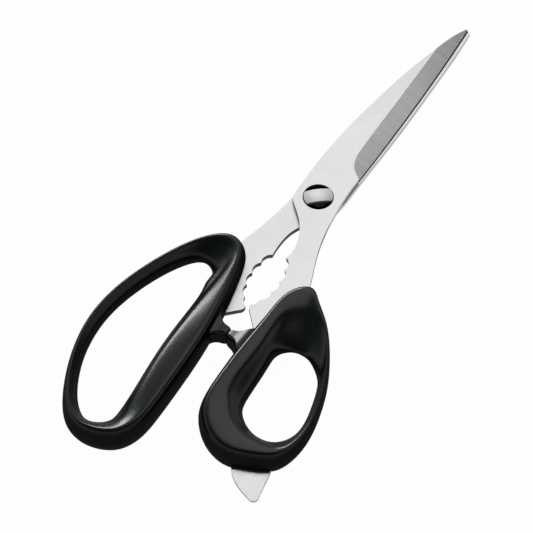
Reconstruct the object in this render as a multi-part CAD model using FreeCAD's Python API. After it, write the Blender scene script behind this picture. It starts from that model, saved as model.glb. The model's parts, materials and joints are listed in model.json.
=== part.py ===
import FreeCAD, Part
import math
import os

# Come-apart kitchen shears, closed. Millimetres. Work frame: the pivot is the
# origin, +Y runs to the tips, +Z is the thumb side's outer face, and z = 0 is
# the plane where the two blades ride on each other.

V = FreeCAD.Vector

# Blades and tangs
PLATE = 2.0            # blade stock thickness
RIDE_GAP = 0.05        # gap between the two blades
EDGE_STOCK = 0.45      # steel that the bevel leaves at the cutting edge
HONE_LAND = 0.08       # steel that honing leaves there
HONE_SLOPE = 1.2       # rise of the honed facet over its width
HONE_REACH = 0.8       # width over which the honing is cut
GRIND_RUN = 1.3        # run of a grinding cut, past the edge, as a share of its face
BLADE_SIDE = 14.0      # clear of the blades' sides
BLADE_END = 110.0      # clear of their tips
CLEAR = 8.0            # clear of a blade's faces
TANG_SLIM = 0.35       # tang ground down on its outer face inside a handle
KEY_HOLE_D = 3.2       # moulding keys through the hidden tang
SCALLOPS = 4           # whole scallops on each tang, then a short one
SCALLOP_DEPTH = 0.95
SCALLOP_STEP = 14.3    # degrees
SHORT_DEPTH = 0.6      # depth of the short scallop, share of a whole one
SHORT_FLOOR = 0.36     # place of its floor along a whole step
JAW_R = 20.4           # arc through the tips of the scallops
FRONT_JAW = (-10.0, -39.8)
FRONT_JAW_START = 37.5
REAR_JAW = (19.9, -35.3)
REAR_JAW_START = 159.2

# Pivot
BORE_D = 10.6          # round recess in the front blade
BORE_DEPTH = 1.15
BORE_CHAMFER = 0.15
NECK_D = 7.0
NECK_CLEAR = 0.05      # radial running clearance
BAR_WIDTH = 5.2        # T-head across its flats
BAR_LENGTH = 10.2      # T-head end to end
BAR_ANGLE = 45.0       # T-head direction in plan
BAR_CROWN = 1.3        # middle of the T-head above the blade face
BAR_CROWN_R = 15.0
BAR_CLEAR = 0.05       # T-head above the floor of the recess
SLOT_CLEAR = 0.15      # release slot around the T-head, per side
RELEASE_ANGLE = 100.0  # opening at which the halves lift apart
TAIL_D = 5.0
TAIL_SINK_D = 7.6      # countersink filled by the peened tail

# Handles
WALL_LEAN = 0.30       # share of the crest inset taken up by the outer wall
CREST_R = 0.5          # roundness of the outer crest
CREST_DROP = 1.8       # height of that rounding over its width
SHOULDER = 1.2         # soft rounding from the crest to the land
SHOULDER_SHARE = 0.35  # most of a narrow land that it takes
SHOULDER_FALL = 0.2    # its fall over its width
CORNER = 0.4           # inner corner of the land
CORNER_SHARE = 0.25    # most of a narrow land that it takes
OUTER_FALL = 0.35      # share of the land's fall in its outer half
TURN = 0.22            # turn from the land into the inner wall
INNER_WALL = 0.86      # where the inner wall turns upright
RAMP = 0.28            # least fall of a wide inner slope over its width
WAIST = 0.5            # share of the half height at which walls stand upright
STOP_TIP = 3.3         # half height of the two closing stops where they meet
STOP_FRONT_R = 1.2     # rounding of their edges toward the foot
STOP_BACK_R = 0.4      # and toward the tips
SEAM_X = 8.85          # plane where the stops meet
SEAM_GAP = 0.12
LIFTER_TOP = -1.6      # lid lifter, top face at the bow
LIFTER_PLATE = 2.0
LIFTER_TIP = 0.8       # thickness left at its tip
LIFTER_REACH = 11.5    # bow to tip
LIFTER_AIM = 36.0      # direction it points, from -Y toward +X

FRONT_LOW = RIDE_GAP / 2
FRONT_TOP = FRONT_LOW + PLATE
REAR_TOP = -RIDE_GAP / 2
REAR_LOW = REAR_TOP - PLATE


def spline(*points):
    curve = Part.BSplineCurve()
    curve.interpolate([V(x, y, 0) for x, y in points])
    return curve.toShape()


def arc(a, b, c):
    return Part.Arc(V(a[0], a[1], 0), V(b[0], b[1], 0), V(c[0], c[1], 0)).toShape()


def line(a, b):
    return Part.makeLine(V(a[0], a[1], 0), V(b[0], b[1], 0))


def polar(centre, radius, degrees):
    a = math.radians(degrees)
    return (centre[0] + radius * math.cos(a), centre[1] + radius * math.sin(a))


def scallops(centre, start, step, end):
    """Row of grip scallops whose tips lie on one arc, closed by a short one."""
    edges = []
    for i in range(SCALLOPS):
        a = start + i * step
        floor = polar(centre, JAW_R + SCALLOP_DEPTH, a + step / 2)
        edges.append(arc(polar(centre, JAW_R, a), floor, polar(centre, JAW_R, a + step)))
    a = start + SCALLOPS * step
    floor = polar(centre, JAW_R + SHORT_DEPTH * SCALLOP_DEPTH, a + SHORT_FLOOR * step)
    edges.append(arc(polar(centre, JAW_R, a), floor, end))
    return edges


def prism(edges, low, high):
    face = Part.Face(Part.Wire(Part.__sortEdges__(edges)))
    solid = face.extrude(V(0, 0, high - low))
    solid.translate(V(0, 0, low))
    return solid


def cylinder(d, low, high, x=0.0, y=0.0):
    return Part.makeCylinder(d / 2, high - low, V(x, y, low))


def bar(width, length, low, high, angle):
    """Straight bar through the pivot axis, its ends on one cylinder."""
    box = Part.makeBox(length + 2, width, high - low, V(-length / 2 - 1, -width / 2, low))
    box.rotate(V(0, 0, 0), V(0, 0, 1), angle)
    return box.common(cylinder(length, low, high))


def one(shape):
    return sorted(shape.Solids, key=lambda s: s.Volume)[-1]


def grind(top_line, top, edge_line, edge, heel, side):
    """Steel above a ground face of the front blade, with both lines at their own height."""
    inner = []
    outer = []
    for (tx, ty), (ex, ey) in zip(top_line, edge_line):
        start = V(tx, ty, top)
        inner.append(start)
        outer.append(start + (V(ex, ey, edge) - start) * GRIND_RUN)
    curves = []
    for points in (inner, outer):
        curve = Part.BSplineCurve()
        curve.interpolate(points)
        curves.append(curve.toShape())
    ground = Part.makeRuledSurface(curves[0], curves[1])
    wedge = ground.extrude(V(0, 0, CLEAR))
    across = side * BLADE_SIDE
    corners = [heel[-1], (-across, heel[-1][1]), (-across, BLADE_END), (across, BLADE_END),
               (across, heel[0][1]), heel[0]]
    fence = [spline(*heel)]
    for a, b in zip(corners, corners[1:]):
        fence.append(line(a, b))
    return wedge.common(prism(fence, -CLEAR, 2 * CLEAR))


def edge_cutters(bevel_line, edge_line, heel, side):
    """Steel above the bevel, and above the steep honed facet along its cutting edge."""
    hone_line = [(x - side * HONE_REACH, y) for x, y in edge_line]
    stock = FRONT_LOW + EDGE_STOCK
    land = FRONT_LOW + HONE_LAND
    hone_top = land + HONE_SLOPE * HONE_REACH
    bevel = grind(bevel_line, FRONT_TOP, edge_line, stock, heel, side)
    hone = grind(hone_line, hone_top, edge_line, land, heel, side)
    return bevel, hone


# Front blade, on the tang that carries the thumb handle
row = scallops(FRONT_JAW, FRONT_JAW_START, -SCALLOP_STEP, (7.9, -50.0))
first_tip = polar(FRONT_JAW, JAW_R, FRONT_JAW_START)
outline = [
    arc((-1.2, 93.1), (-0.45, 93.9), (0.0, 93.2)),
    arc((0.0, 93.2), (4.2, 54.5), (7.0, 14.0)),
    spline((7.0, 14.0), (8.2, 2.0), (9.9, -7.0), (13.5, -18.8), (19.6, -32.0), (23.0, -40.0)),
    line((23.0, -40.0), (23.0, -84.0)),
    arc((23.0, -84.0), (21.0, -86.0), (19.0, -84.0)),
    line((19.0, -84.0), (18.4, -60.8)),
    line((18.4, -60.8), (8.5, -51.8)),
    arc((8.5, -51.8), (7.9, -51.0), (7.9, -50.0)),
    spline(first_tip, (6.4, -23.4), (4.4, -17.6), (0.6, -12.1), (-5.0, -7.3), (-7.2, -5.3)),
    spline((-7.2, -5.3), (-8.2, 3.0), (-9.1, 16.0), (-9.1, 34.0), (-7.9, 52.0), (-6.0, 69.0),
           (-4.3, 79.0), (-2.9, 87.3), (-1.2, 93.1)),
]
front_blade = prism(outline + row, FRONT_LOW, FRONT_TOP)
front_tang = prism(outline + row, FRONT_LOW, FRONT_TOP - TANG_SLIM)
front_cutters = edge_cutters(
    [(1.3, 10.0), (-2.3, 57.0), (-5.6, 97.0)],
    [(7.4, 10.0), (4.05, 57.0), (-0.5, 97.0)],
    [(8.6, 13.6), (6.0, 15.2), (3.0, 17.5), (0.8, 22.0), (0.0, 28.0)], 1)
for cutter in front_cutters:
    front_blade = one(front_blade.cut(cutter))

# Rear blade, on the tang that carries the finger handle
row = scallops(REAR_JAW, REAR_JAW_START, SCALLOP_STEP, (5.9, -50.4))
first_tip = polar(REAR_JAW, JAW_R, REAR_JAW_START)
outline = [
    arc((1.1, 92.8), (0.4, 93.8), (-0.7, 93.1)),
    arc((-0.7, 93.1), (-6.8, 54.5), (-8.5, 14.0)),
    spline((-8.5, 14.0), (-8.2, 3.0), (-8.0, -6.0), (-8.6, -14.2), (-9.7, -23.0), (-11.0, -30.2),
           (-11.8, -38.0)),
    line((-11.8, -38.0), (0.6, -88.0)),
    arc((0.6, -88.0), (2.8, -89.6), (4.2, -87.2)),
    line((4.2, -87.2), (0.0, -59.0)),
    line((0.0, -59.0), (5.2, -53.0)),
    arc((5.2, -53.0), (6.0, -51.8), (5.9, -50.4)),
    spline(first_tip, (0.3, -24.5), (0.05, -21.1), (0.5, -16.1), (2.7, -10.8), (7.6, -5.0)),
    spline((7.6, -5.0), (8.1, 2.0), (7.5, 14.7), (6.8, 28.7), (5.9, 43.7), (4.7, 57.7), (3.5, 70.7),
           (2.0, 85.7), (1.1, 92.8)),
]
rear_blade = prism(outline + row, REAR_LOW, REAR_TOP)
rear_tang = prism(outline + row, REAR_LOW + TANG_SLIM, REAR_TOP)
rear_cutters = edge_cutters(
    [(-3.0, 10.0), (0.0, 57.0), (4.0, 97.0)],
    [(-8.8, 10.0), (-6.6, 57.0), (-0.2, 97.0)],
    [(-9.6, 13.6), (-7.6, 15.2), (-5.0, 17.5), (-2.8, 22.0), (-2.0, 28.0)], -1)
for cutter in rear_cutters:
    rear_blade = one(rear_blade.cut(cutter.mirror(V(0, 0, 0), V(0, 0, 1))))

# Pivot: recess, running hole and release slot in front, riveted stud behind
web_top = FRONT_TOP - BORE_DEPTH
recess = cylinder(BORE_D, web_top, FRONT_TOP + 1)
running = cylinder(NECK_D + 2 * NECK_CLEAR, FRONT_LOW - 1, FRONT_TOP)
slot = bar(BAR_WIDTH + 2 * SLOT_CLEAR, BAR_LENGTH + 2 * SLOT_CLEAR, FRONT_LOW - 1, FRONT_TOP,
           BAR_ANGLE - RELEASE_ANGLE)
rim = Part.makeCone(BORE_D / 2, BORE_D / 2 + 2 * BORE_CHAMFER, 2 * BORE_CHAMFER,
                    V(0, 0, FRONT_TOP - BORE_CHAMFER))
front_blade = one(front_blade.cut(recess).cut(running).cut(slot).cut(rim))

sink_depth = (TAIL_SINK_D - TAIL_D) / 2
sink = Part.makeCone(TAIL_SINK_D / 2, TAIL_D / 2, sink_depth, V(0, 0, REAR_LOW))
tail = cylinder(TAIL_D, REAR_LOW, REAR_TOP).fuse(sink)
rear_blade = one(rear_blade.cut(tail))
bar_low = web_top + BAR_CLEAR
head = bar(BAR_WIDTH, BAR_LENGTH, bar_low, FRONT_TOP + BAR_CROWN + 1, BAR_ANGLE)
crown = Part.makeSphere(BAR_CROWN_R, V(0, 0, FRONT_TOP + BAR_CROWN - BAR_CROWN_R))
head = head.common(crown)
neck = cylinder(NECK_D, REAR_TOP, bar_low)
pivot_stud = one(tail.fuse(neck).fuse(head).removeSplitter())


# Handles: a closed skin through sections set square to the bow. Each row is outer x, outer y,
# hole x, hole y, half height, crest inset, land width, fall of the land toward the hole.
FINGER = [
    (-13.8, -31.0, -14.8, -44.3, 6.0, 1.9, 3.0, 0.20),
    (-6.7, -33.3, -10.8, -47.0, 6.2, 2.0, 3.8, 0.50),
    (-2.4, -41.8, -10.2, -51.6, 6.4, 1.9, 4.6, 1.00),
    (1.4, -54.2, -8.5, -58.5, 6.4, 1.7, 6.8, 1.50),
    (4.9, -70.3, -7.4, -72.7, 6.4, 1.6, 8.8, 0.95),
    (7.0, -86.0, -5.6, -87.1, 6.4, 1.6, 9.2, 0.60),
    (8.3, -100.0, -3.3, -100.6, 6.4, 1.6, 7.8, 0.65),
    (8.4, -110.6, -2.2, -109.4, 6.3, 1.7, 5.8, 1.15),
    (4.6, -119.5, -2.8, -114.5, 6.2, 1.9, 4.2, 1.15),
    (-4.4, -124.2, -7.1, -117.9, 6.0, 1.9, 3.0, 0.80),
    (-13.8, -122.8, -12.0, -116.9, 5.8, 1.9, 1.6, 0.40),
    (-22.2, -114.0, -18.4, -111.0, 5.5, 1.6, 0.9, 0.05),
    (-29.6, -100.0, -25.3, -98.9, 5.2, 1.4, 0.9, 0.05),
    (-33.4, -84.7, -28.8, -84.1, 5.0, 1.3, 0.9, 0.05),
    (-32.8, -68.9, -28.1, -69.6, 5.0, 1.3, 1.0, 0.05),
    (-28.7, -52.7, -24.5, -55.7, 5.2, 1.4, 1.3, 0.05),
    (-22.0, -38.5, -19.6, -46.4, 5.6, 1.7, 2.0, 0.10),
]
THUMB = [
    (20.4, -32.5, 31.4, -55.5, 6.1, 2.1, 8.6, 0.60),
    (25.8, -35.2, 34.8, -55.3, 6.0, 2.1, 5.5, 0.40),
    (32.7, -40.6, 37.4, -56.1, 5.6, 1.8, 2.4, 0.15),
    (39.9, -48.8, 40.7, -58.2, 5.2, 1.5, 1.0, 0.05),
    (46.7, -59.3, 44.1, -61.9, 4.8, 1.2, 0.6, 0.05),
    (51.2, -69.6, 47.3, -69.4, 4.6, 1.3, 0.6, 0.05),
    (54.2, -82.0, 49.7, -79.8, 4.8, 1.6, 0.9, 0.05),
    (52.4, -93.9, 47.3, -86.9, 5.4, 1.9, 2.6, 0.20),
    (45.5, -99.9, 42.7, -90.0, 6.0, 2.0, 5.4, 0.40),
    (36.6, -103.4, 37.4, -89.7, 6.3, 2.0, 8.4, 0.60),
    (27.8, -102.0, 32.5, -87.1, 6.4, 2.0, 9.8, 0.70),
    (20.8, -96.5, 29.3, -83.2, 6.4, 2.0, 9.8, 0.70),
    (17.2, -89.4, 28.1, -77.7, 6.4, 2.0, 8.0, 0.60),
    (15.7, -79.0, 27.3, -71.2, 6.4, 1.9, 6.4, 0.45),
    (14.6, -66.0, 26.4, -65.0, 6.4, 1.9, 5.8, 0.40),
    (14.7, -52.0, 26.1, -60.2, 6.4, 1.9, 6.4, 0.45),
    (15.3, -39.4, 28.4, -57.0, 6.3, 1.9, 7.8, 0.55),
]


def through(points):
    """Poles of the closed uniform cubic that passes through the points."""
    poles = list(points)
    count = len(points)
    for sweep in range(40):
        for i in range(count):
            poles[i] = (points[i] * 6 - poles[i - 1] - poles[(i + 1) % count]) * 0.25
    return poles


def section(row):
    """Poles of one section: leaning wall, crest, land and inner wall, alike above and below."""
    ox, oy, hx, hy, half, inset, flat, fall = row
    outer = V(ox, oy, 0)
    across = V(hx, hy, 0) - outer
    width = across.Length
    across.normalize()
    edge = inset + flat
    rest = width - edge
    low = half - fall
    wall = WALL_LEAN * inset
    shoulder = min(SHOULDER, SHOULDER_SHARE * flat)
    corner = min(CORNER, CORNER_SHARE * flat)
    inner = edge + INNER_WALL * rest
    foot = min(WAIST * half, low - RAMP * (inner - edge))
    upper = [
        (wall, WAIST * half),
        (inset - CREST_R, half - CREST_DROP * CREST_R),
        (inset + shoulder / 4, half - SHOULDER_FALL * shoulder),
        (inset + shoulder, half),
        (inset + flat / 2, half - OUTER_FALL * fall),
        (edge - corner, low),
        (edge + TURN * rest, low - TURN * half),
        (inner, foot),
    ]
    ring = [outer - across * (wall / 2)]
    for s, z in upper:
        ring.append(outer + across * s + V(0, 0, z))
    ring.append(outer + across * (width + (width - inner) / 2))
    for s, z in reversed(upper):
        ring.append(outer + across * s - V(0, 0, z))
    return ring


def skin(rows):
    sections = [section(row) for row in rows]
    rails = [through(list(rail)) for rail in zip(*sections)]
    poles = [list(ring) for ring in zip(*rails)]
    n = len(poles)
    m = len(poles[0])
    surface = Part.BSplineSurface()
    surface.buildFromPolesMultsKnots(
        poles, [1] * (n + 1), [1] * (m + 1), list(range(n + 1)), list(range(m + 1)), True, True, 3, 3)
    cuts = (0, n // 3, 2 * n // 3, n)
    faces = []
    for a, b in zip(cuts, cuts[1:]):
        for c, d in ((0, m // 2), (m // 2, m)):
            patch = surface.copy()
            patch.segment(a, b, c, d)
            faces.append(patch.toShape())
    shell = Part.makeCompound(faces)
    shell.sewShape()
    return Part.makeSolid(shell.Shells[0])


def stop(rows):
    """Closing stop: a flat-topped horn lofted along X; each row is x, upper y, lower y, half height."""
    radii = (STOP_BACK_R, STOP_FRONT_R, STOP_FRONT_R, STOP_BACK_R)
    bow = 1 - math.sqrt(0.5)
    wires = []
    for x, upper, lower, half in rows:
        corners = [V(x, upper, half), V(x, lower, half), V(x, lower, -half), V(x, upper, -half)]
        edges = []
        for i, corner in enumerate(corners):
            r = radii[i]
            following = (i + 1) % 4
            back = (corners[i - 1] - corner).normalize()
            ahead = (corners[following] - corner).normalize()
            start = corner + back * r
            end = corner + ahead * r
            edges.append(Part.Arc(start, corner + (back + ahead) * r * bow, end).toShape())
            edges.append(Part.makeLine(end, corners[following] - ahead * radii[following]))
        wires.append(Part.Wire(edges))
    return Part.makeLoft(wires, True, False)


finger_stop = stop([
    (SEAM_X - SEAM_GAP / 2, -62.5, -65.3, STOP_TIP - 0.15),
    (SEAM_X - 0.3, -62.3, -65.5, STOP_TIP),
    (6.4, -61.9, -66.4, STOP_TIP + 0.1),
    (4.0, -60.8, -68.8, STOP_TIP + 0.2),
    (1.6, -59.0, -72.2, STOP_TIP + 0.3),
    (-1.0, -56.8, -75.8, STOP_TIP + 0.4),
])
thumb_stop = stop([
    (SEAM_X + SEAM_GAP / 2, -62.7, -65.3, STOP_TIP - 0.15),
    (SEAM_X + 0.3, -62.6, -65.5, STOP_TIP),
    (11.0, -62.1, -66.0, STOP_TIP + 0.5),
    (13.0, -60.9, -66.8, STOP_TIP + 1.05),
    (15.0, -58.8, -68.6, STOP_TIP + 1.6),
    (17.6, -55.6, -71.6, STOP_TIP + 2.3),
])
finger_body = skin(FINGER)
thumb_body = skin(THUMB)

# Hidden tang: slimmed on the outer face and keyed to the moulding
front_slab = Part.makeBox(80, 120, TANG_SLIM + 1, V(-10, -120, FRONT_TOP - TANG_SLIM))
rear_slab = Part.makeBox(80, 120, TANG_SLIM + 1, V(-50, -120, REAR_LOW - 1))
for moulding in (thumb_body, thumb_stop):
    front_blade = one(front_blade.cut(moulding.common(front_slab)))
for moulding in (finger_body, finger_stop):
    rear_blade = one(rear_blade.cut(moulding.common(rear_slab)))
for x, y in ((20.8, -68.0), (21.0, -79.0)):
    key = cylinder(KEY_HOLE_D, -CLEAR, CLEAR, x, y)
    front_blade = one(front_blade.cut(key))
    front_tang = one(front_tang.cut(key))
for x, y in ((-2.6, -64.0), (-0.4, -76.0)):
    key = cylinder(KEY_HOLE_D, -CLEAR, CLEAR, x, y)
    rear_blade = one(rear_blade.cut(key))
    rear_tang = one(rear_tang.cut(key))

# Lid lifter, moulded into the foot of the thumb bow
lifter_edges = [
    spline((36.5, -97.0), (38.6, -102.4), (42.6, -106.0), (46.6, -107.7), (50.2, -108.6)),
    arc((50.2, -108.6), (52.2, -108.4), (52.8, -106.7)),
    spline((52.8, -106.7), (51.2, -100.2), (49.9, -95.2), (48.4, -91.0)),
    line((48.4, -91.0), (36.5, -97.0)),
]
lid_lifter = prism(lifter_edges, LIFTER_TOP - LIFTER_PLATE, LIFTER_TOP)
taper = math.degrees(math.atan((LIFTER_PLATE - LIFTER_TIP) / LIFTER_REACH))
above = Part.makeBox(60, 30, 10, V(-30, -30, 0))
above.rotate(V(0, 0, 0), V(1, 0, 0), taper)
above.rotate(V(0, 0, 0), V(0, 0, 1), LIFTER_AIM)
above.translate(V(44.6, -100.2, LIFTER_TOP))
lid_lifter = one(lid_lifter.cut(above))
lid_lifter = one(lid_lifter.cut(cylinder(KEY_HOLE_D, -CLEAR, CLEAR, 43.6, -96.6)))

finger_handle = one(finger_body.cut(rear_tang).fuse(finger_stop.cut(rear_tang)))
thumb_handle = one(thumb_body.cut(front_tang).cut(lid_lifter).fuse(thumb_stop.cut(front_tang)))

parts = {
    "rear_blade": rear_blade,
    "finger_handle": finger_handle,
    "pivot_stud": pivot_stud,
    "front_blade": front_blade,
    "thumb_handle": thumb_handle,
    "lid_lifter": lid_lifter,
}

# Shared frame: origin under the middle of the closed shears
box = FreeCAD.BoundBox()
for shape in parts.values():
    box.add(shape.optimalBoundingBox(False))
shift = V(-(box.XMin + box.XMax) / 2, -(box.YMin + box.YMax) / 2, -box.ZMin)
os.makedirs("parts", exist_ok=True)
for name, shape in parts.items():
    shape.translate(shift)
    shape.exportStep("parts/" + name + ".step")
    print(name, "valid" if shape.isValid() else "not valid", round(shape.Volume, 1), "mm3")
print("length", round(box.YLength, 2), "pivot at", shift)
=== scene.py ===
import json
import math

import bpy
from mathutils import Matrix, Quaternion, Vector

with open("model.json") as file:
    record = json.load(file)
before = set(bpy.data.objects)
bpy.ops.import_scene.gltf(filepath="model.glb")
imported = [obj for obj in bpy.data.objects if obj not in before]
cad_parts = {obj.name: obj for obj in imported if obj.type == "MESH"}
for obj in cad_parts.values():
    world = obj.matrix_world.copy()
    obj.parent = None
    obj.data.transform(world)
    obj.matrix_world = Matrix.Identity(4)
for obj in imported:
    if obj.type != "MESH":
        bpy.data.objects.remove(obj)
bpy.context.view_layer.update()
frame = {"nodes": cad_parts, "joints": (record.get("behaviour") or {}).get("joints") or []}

nodes = frame["nodes"]
PIVOT = Vector(frame["joints"][0]["pos_m"])

# Camera: where the photograph was taken from. The aim is measured from the pivot.
PHOTO_PIXELS = 533
FOCAL_PIXELS = 2638.5
SENSOR = 36.0
AZIMUTH = 36.31
ELEVATION = 55.5
DISTANCE = 0.9
AIM = Vector((0.002925, -0.034312, 0.002025))
CLIP_START = 0.01
CLIP_END = 20.0

# Floor
FLOOR_SIZE = 6.0
FLOOR_GREY = 0.86
FLOOR_GLOW = 0.98

# Room: pale round the horizon and dark overhead, fading between these heights of a sight line
ROOM_LOW = 0.80
ROOM_HIGH = 0.08
ROOM_FADE = (0.42, 0.77)

# Soft boxes: direction from the object, distance, width and height, roll in degrees and radiance.
# The key lights everything but the bows. The top and the side box light the bows alone.
KEY = {"toward": (-0.331, 0.413, 0.848), "away": 1.41, "size": (1.06, 0.97), "roll": -41, "level": 1.2}
TOP = {"toward": (-0.141, 0.491, 0.860), "away": 1.4, "size": (0.64, 1.03), "roll": 20, "level": 1.6}
SIDE = {"toward": (-0.71, 0.53, 0.46), "away": 0.9, "size": (0.46, 0.30), "roll": 0, "level": 22.0}
BOWS = ("finger_handle", "thumb_handle")

# Levelness, 1 on level faces and 0 on upright walls, over which one finish turns into the next
FLAT_TO_BEVEL = (0.985, 0.972)
BEVEL_TO_WALL = (0.80, 0.66)
# The honed edge facet, steeper than the bevel, keeps the dark wall grey as a painted dark reflection.
# Upright blade walls past this are the bright spine.
HONED_TO_SPINE = (0.45, 0.30)
WALL_TO_LAND = (0.35, 0.85)

# Noise: cells per metre, the share of that along X, Y and Z, and detail
LONG_GRAIN = {"scale": 9000.0, "along": (1.0, 0.02, 1.0), "detail": 3.0}
CROSS_GRAIN = {"scale": 2600.0, "along": (0.03, 1.0, 0.03), "detail": 4.0}
GRINDING_BANDS = {"scale": 420.0, "along": (0.1, 1.0, 0.1), "detail": 2.0}
STEEL_CLOUD = {"scale": 60.0, "along": (1.0, 1.0, 1.0), "detail": 3.0}
MOULDED_GRAIN = {"scale": 5200.0, "along": (1.0, 1.0, 1.0), "detail": 2.0}
MOULDED_CLOUD = {"scale": 45.0, "along": (1.0, 1.0, 1.0), "detail": 3.0}
GRAIN_DEPTH = 0.000003
GRAIN_STRENGTH = 0.15

# Noise values between which a tone swings from its lowest to its highest
WIDE = (0.25, 0.75)
NARROW = (0.3, 0.7)

# Steel: swing of each grey as a share of it, and of the roughness; roughness of sheared walls
FLAT_SWING = 0.03
BEVEL_SWING = 0.05
BAND_SWING = 0.04
WALL_SWING = 0.3
ROUGH_SWING = 0.03
WALL_ROUGH = 0.55

# The pivot recess gets painted shade within this radius and between these heights from the pivot
RECESS_RADIUS = 0.0053
RECESS_RIM = 1.01 * RECESS_RADIUS
RECESS_TOP = 0.002025
RECESS_TOP_FADE = 0.0003
RECESS_FLOOR = -0.0003
RECESS_FLOOR_FADE = 0.0005

# Half the height of the painted shadow line where the blades ride on each other. It fades out at twice
# this.
JOINT_SHADOW_LINE = 0.00022

# Share of the wall's grey that is left in the painted shade of the recess and in the painted shadow
# line
SHADE = 0.3

# Sheared walls are dark on the tangs, partly from a duller finish and partly as painted shade, and
# ground bright on the blades, where the honed edge facet stays dark as a painted dark reflection. Y
# from the pivot.
TANG_END = -0.014
BLADE_START = -0.004

# Black moulding: its gloss is a coat, weak on walls and stronger on lands
PLASTIC = (0.0015, 0.0035, 0.0030, 1)
PLASTIC_ROUGH = 0.24
PLASTIC_SWING = 0.02
COAT_ON_WALL = 0.04
COAT_ON_LAND = 0.25
COAT_IOR = 2.0
COAT_ROUGH = 0.26


class Nodes:
    """Short calls for building one material's node tree."""

    def __init__(self, name):
        self.material = bpy.data.materials.new(name)
        self.material.use_nodes = True
        self.tree = self.material.node_tree
        self.shader = self.tree.nodes["Principled BSDF"]

    def add(self, kind, **settings):
        node = self.tree.nodes.new(kind)
        for key, value in settings.items():
            setattr(node, key, value)
        return node

    def put(self, node, name, value):
        """Link a socket, or set a plain value."""
        socket = node.inputs[name]
        if isinstance(value, bpy.types.NodeSocket):
            self.tree.links.new(value, socket)
        else:
            socket.default_value = value

    def calc(self, operation, a, b=0.0):
        node = self.add("ShaderNodeMath", operation=operation)
        self.put(node, 0, a)
        self.put(node, 1, b)
        return node.outputs[0]

    def ramp(self, value, low, high, to_low=0.0, to_high=1.0):
        node = self.add("ShaderNodeMapRange", interpolation_type="SMOOTHSTEP")
        self.put(node, "Value", value)
        self.put(node, "From Min", low)
        self.put(node, "From Max", high)
        self.put(node, "To Min", to_low)
        self.put(node, "To Max", to_high)
        return node.outputs["Result"]

    def swing(self, noise, span, middle, amount):
        """Number that swings about its middle with the noise."""
        return self.ramp(noise, *span, middle - amount, middle + amount)

    def blend(self, factor, a, b):
        """Number that goes from a to b. The Mix node has its number sockets at 0, 2 and 3."""
        node = self.add("ShaderNodeMix", data_type="FLOAT")
        self.put(node, 0, factor)
        self.put(node, 2, a)
        self.put(node, 3, b)
        return node.outputs[0]

    def grey(self, value):
        """Colour of one number."""
        node = self.add("ShaderNodeCombineColor")
        for channel in range(3):
            self.put(node, channel, value)
        return node.outputs[0]

    def place(self):
        return self.add("ShaderNodeTexCoord").outputs["Object"]

    def levelness(self):
        """Size of the normal's upright part: 1 on level faces, 0 on upright walls."""
        normal = self.add("ShaderNodeTexCoord").outputs["Normal"]
        return self.calc("ABSOLUTE", self.split(normal)["Z"])

    def split(self, vector):
        node = self.add("ShaderNodeSeparateXYZ")
        self.put(node, 0, vector)
        return node.outputs

    def noise(self, vector, scale, along, detail):
        mapping = self.add("ShaderNodeMapping")
        self.put(mapping, "Vector", vector)
        self.put(mapping, "Scale", along)
        node = self.add("ShaderNodeTexNoise")
        self.put(node, "Vector", mapping.outputs[0])
        self.put(node, "Scale", scale)
        self.put(node, "Detail", detail)
        return node.outputs["Fac"]

    def bump(self, grain):
        node = self.add("ShaderNodeBump")
        self.put(node, "Height", grain)
        self.put(node, "Distance", GRAIN_DEPTH)
        self.put(node, "Strength", GRAIN_STRENGTH)
        for socket in ("Normal", "Coat Normal"):
            self.put(self.shader, socket, node.outputs[0])


def recess_mask(n, x, y, z):
    """1 in the pivot recess, 0 elsewhere, for a place measured from the pivot."""
    radius = n.calc("SQRT", n.calc("ADD", n.calc("MULTIPLY", x, x), n.calc("MULTIPLY", y, y)))
    inside = n.ramp(radius, RECESS_RIM, RECESS_RADIUS)
    below_top = n.ramp(z, RECESS_TOP, RECESS_TOP - RECESS_TOP_FADE)
    above_floor = n.ramp(z, RECESS_FLOOR - RECESS_FLOOR_FADE, RECESS_FLOOR)
    return n.calc("MULTIPLY", inside, n.calc("MULTIPLY", below_top, above_floor))


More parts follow.
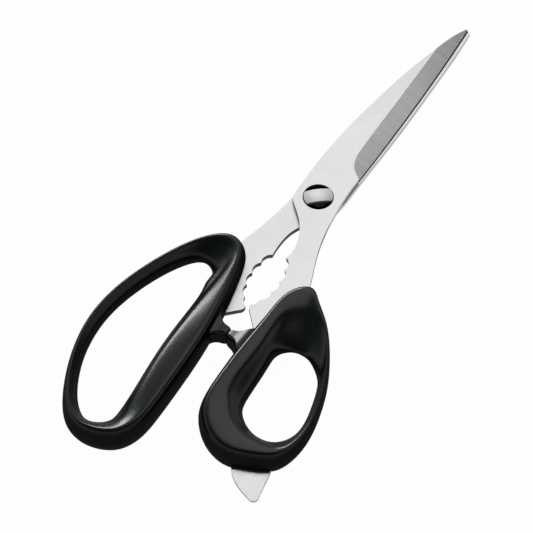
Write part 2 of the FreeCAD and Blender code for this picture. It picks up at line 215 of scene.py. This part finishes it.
def steel(name, flat, bevel, wall, spine, rough):
    """Satin ground plate: long grain on the flats, cross grain on the bevel, dull sheared edges
    darkened further as painted shade, painted shade in the pivot recess and a painted shadow line
    where the blades ride on each other.
    """
    n = Nodes(name)
    place = n.place()
    level = n.levelness()
    on_bevel = n.ramp(level, *FLAT_TO_BEVEL)
    on_wall = n.ramp(level, *BEVEL_TO_WALL)

    from_pivot = n.add("ShaderNodeVectorMath", operation="SUBTRACT")
    n.put(from_pivot, 0, place)
    n.put(from_pivot, 1, PIVOT)
    x, y, z = n.split(from_pivot.outputs[0])
    # Painted shade: the pivot recess is darkened to a share of the wall's grey
    recess_shade = recess_mask(n, x, y, z)
    # Painted shadow: a dark line on the walls where the blades ride on each other
    joint_shadow = n.ramp(n.calc("ABSOLUTE", z), JOINT_SHADOW_LINE * 2, JOINT_SHADOW_LINE)
    on_blade = n.ramp(y, TANG_END, BLADE_START)
    on_spine = n.calc("MULTIPLY", on_blade, n.ramp(level, *HONED_TO_SPINE))
    # Sheared walls (a duller finish plus painted shade) and the pivot recess (painted shade) take the
    # wall grey
    dull_and_painted_shade = n.calc("MAXIMUM", on_wall, recess_shade)

    long_grain = n.noise(place, **LONG_GRAIN)
    cross_grain = n.noise(place, **CROSS_GRAIN)
    bands = n.noise(place, **GRINDING_BANDS)
    cloud = n.noise(place, **STEEL_CLOUD)
    flat_grey = n.swing(cloud, WIDE, flat, flat * FLAT_SWING)
    bevel_grey = n.swing(cross_grain, WIDE, bevel, bevel * BEVEL_SWING)
    bevel_grey = n.calc("MULTIPLY", bevel_grey, n.swing(bands, NARROW, 1.0, BAND_SWING))
    wall_grey = n.swing(cloud, WIDE, wall, wall * WALL_SWING)
    wall_grey = n.blend(on_spine, wall_grey, spine)
    # The painted shadow line and the painted recess shade darken the wall grey
    wall_grey = n.blend(n.calc("MAXIMUM", joint_shadow, recess_shade), wall_grey, wall * SHADE)
    bright = n.blend(on_bevel, flat_grey, bevel_grey)
    n.put(n.shader, "Base Color", n.grey(n.blend(dull_and_painted_shade, bright, wall_grey)))

    grain = n.blend(on_bevel, long_grain, cross_grain)
    finish = n.swing(grain, NARROW, rough, ROUGH_SWING)
    n.put(n.shader, "Roughness", n.blend(dull_and_painted_shade, finish, WALL_ROUGH))
    n.put(n.shader, "Metallic", 1.0)
    n.bump(grain)
    return n.material


def black_plastic():
    """Satin black moulding with a very fine moulded grain."""
    n = Nodes("black_plastic")
    place = n.place()
    cloud = n.noise(place, **MOULDED_CLOUD)
    coat = n.ramp(n.levelness(), *WALL_TO_LAND, COAT_ON_WALL, COAT_ON_LAND)
    n.put(n.shader, "Base Color", PLASTIC)
    n.put(n.shader, "Roughness", n.swing(cloud, NARROW, PLASTIC_ROUGH, PLASTIC_SWING))
    n.put(n.shader, "Specular IOR Level", 0.0)
    n.put(n.shader, "Coat Weight", coat)
    n.put(n.shader, "Coat IOR", COAT_IOR)
    n.put(n.shader, "Coat Roughness", COAT_ROUGH)
    n.bump(n.noise(place, **MOULDED_GRAIN))
    return n.material


def floor_material():
    """Pale floor that reads white to the camera and in reflections, and keeps a soft shadow."""
    material = bpy.data.materials.new("floor")
    material.use_nodes = True
    tree = material.node_tree
    tree.nodes.clear()
    output = tree.nodes.new("ShaderNodeOutputMaterial")
    matt = tree.nodes.new("ShaderNodeBsdfDiffuse")
    matt.inputs["Color"].default_value = (FLOOR_GREY, FLOOR_GREY, FLOOR_GREY, 1)
    glow = tree.nodes.new("ShaderNodeEmission")
    path = tree.nodes.new("ShaderNodeLightPath")
    seen = path.outputs["Is Camera Ray"]
    for ray in ("Is Glossy Ray", "Is Transmission Ray"):
        either = tree.nodes.new("ShaderNodeMath")
        either.operation = "MAXIMUM"
        tree.links.new(seen, either.inputs[0])
        tree.links.new(path.outputs[ray], either.inputs[1])
        seen = either.outputs[0]
    share = tree.nodes.new("ShaderNodeMath")
    share.operation = "MULTIPLY"
    share.inputs[1].default_value = FLOOR_GLOW
    tree.links.new(seen, share.inputs[0])
    mix = tree.nodes.new("ShaderNodeMixShader")
    tree.links.new(share.outputs[0], mix.inputs[0])
    tree.links.new(matt.outputs[0], mix.inputs[1])
    tree.links.new(glow.outputs[0], mix.inputs[2])
    tree.links.new(mix.outputs[0], output.inputs["Surface"])
    return material


def make_floor():
    half = FLOOR_SIZE / 2
    mesh = bpy.data.meshes.new("floor")
    corners = [(-half, -half, 0), (half, -half, 0), (half, half, 0), (-half, half, 0)]
    mesh.from_pydata(corners, [], [(0, 1, 2, 3)])
    floor = bpy.data.objects.new("floor", mesh)
    bpy.context.scene.collection.objects.link(floor)
    mesh.materials.append(floor_material())


def make_light(name, spec, bows):
    """Soft box of the given radiance that faces the object.

    With bows "INCLUDE" it lights the bows alone, with "EXCLUDE" all but the bows.
    """
    width, height = spec["size"]
    data = bpy.data.lights.new(name, "AREA")
    data.shape = "RECTANGLE"
    data.size = width
    data.size_y = height
    data.energy = spec["level"] * math.pi * width * height
    lamp = bpy.data.objects.new(name, data)
    bpy.context.scene.collection.objects.link(lamp)
    toward = Vector(spec["toward"]).normalized()
    lamp.location = toward * spec["away"]
    lamp.rotation_mode = "QUATERNION"
    roll = Quaternion((0, 0, 1), math.radians(spec["roll"]))
    lamp.rotation_quaternion = toward.to_track_quat("Z", "Y") @ roll
    linked = bpy.data.collections.new(name)
    for node in BOWS:
        linked.objects.link(nodes[node])
    for entry in linked.collection_objects:
        entry.light_linking.link_state = bows
    lamp.light_linking.receiver_collection = linked


def make_world():
    """Room that grows darker with the height of the sight line."""
    world = bpy.data.worlds.new("studio")
    bpy.context.scene.world = world
    world.use_nodes = True
    tree = world.node_tree
    sight = tree.nodes.new("ShaderNodeTexCoord").outputs["Generated"]
    split = tree.nodes.new("ShaderNodeSeparateXYZ")
    tree.links.new(sight, split.inputs[0])
    fade = tree.nodes.new("ShaderNodeMapRange")
    fade.interpolation_type = "SMOOTHSTEP"
    fade.inputs["From Min"].default_value = ROOM_FADE[0]
    fade.inputs["From Max"].default_value = ROOM_FADE[1]
    fade.inputs["To Min"].default_value = ROOM_LOW
    fade.inputs["To Max"].default_value = ROOM_HIGH
    tree.links.new(split.outputs["Z"], fade.inputs["Value"])
    background = tree.nodes["Background"]
    background.inputs["Color"].default_value = (1, 1, 1, 1)
    tree.links.new(fade.outputs["Result"], background.inputs["Strength"])


def make_camera():
    data = bpy.data.cameras.new("camera")
    data.sensor_width = SENSOR
    data.lens = FOCAL_PIXELS / PHOTO_PIXELS * SENSOR
    data.clip_start = CLIP_START
    data.clip_end = CLIP_END
    camera = bpy.data.objects.new("camera", data)
    bpy.context.scene.collection.objects.link(camera)
    a = math.radians(AZIMUTH)
    e = math.radians(ELEVATION)
    back = Vector((math.sin(a) * math.cos(e), -math.cos(a) * math.cos(e), math.sin(e)))
    camera.location = PIVOT + AIM + back * DISTANCE
    camera.rotation_mode = "QUATERNION"
    camera.rotation_quaternion = (-back).to_track_quat("-Z", "Y")
    bpy.context.scene.camera = camera


def dress(node, material):
    mesh = nodes[node].data
    mesh.materials.clear()
    mesh.materials.append(material)


# The blades' dark wall grey is partly a dull sheared finish and partly painted shade
blade_steel = steel("blade_steel", flat=0.69, bevel=0.72, wall=0.07, spine=0.60, rough=0.34)
stud_steel = steel("stud_steel", flat=0.80, bevel=0.80, wall=0.50, spine=0.50, rough=0.45)
lifter_steel = steel("lifter_steel", flat=0.74, bevel=0.74, wall=0.30, spine=0.30, rough=0.24)
plastic = black_plastic()
dress("front_blade", blade_steel)
dress("rear_blade", blade_steel)
dress("lid_lifter", lifter_steel)
dress("pivot_stud", stud_steel)
for bow in BOWS:
    dress(bow, plastic)

make_floor()
make_world()
make_light("key", KEY, "EXCLUDE")
make_light("top", TOP, "INCLUDE")
make_light("side", SIDE, "INCLUDE")
make_camera()
bpy.context.scene.view_settings.view_transform = "Standard"
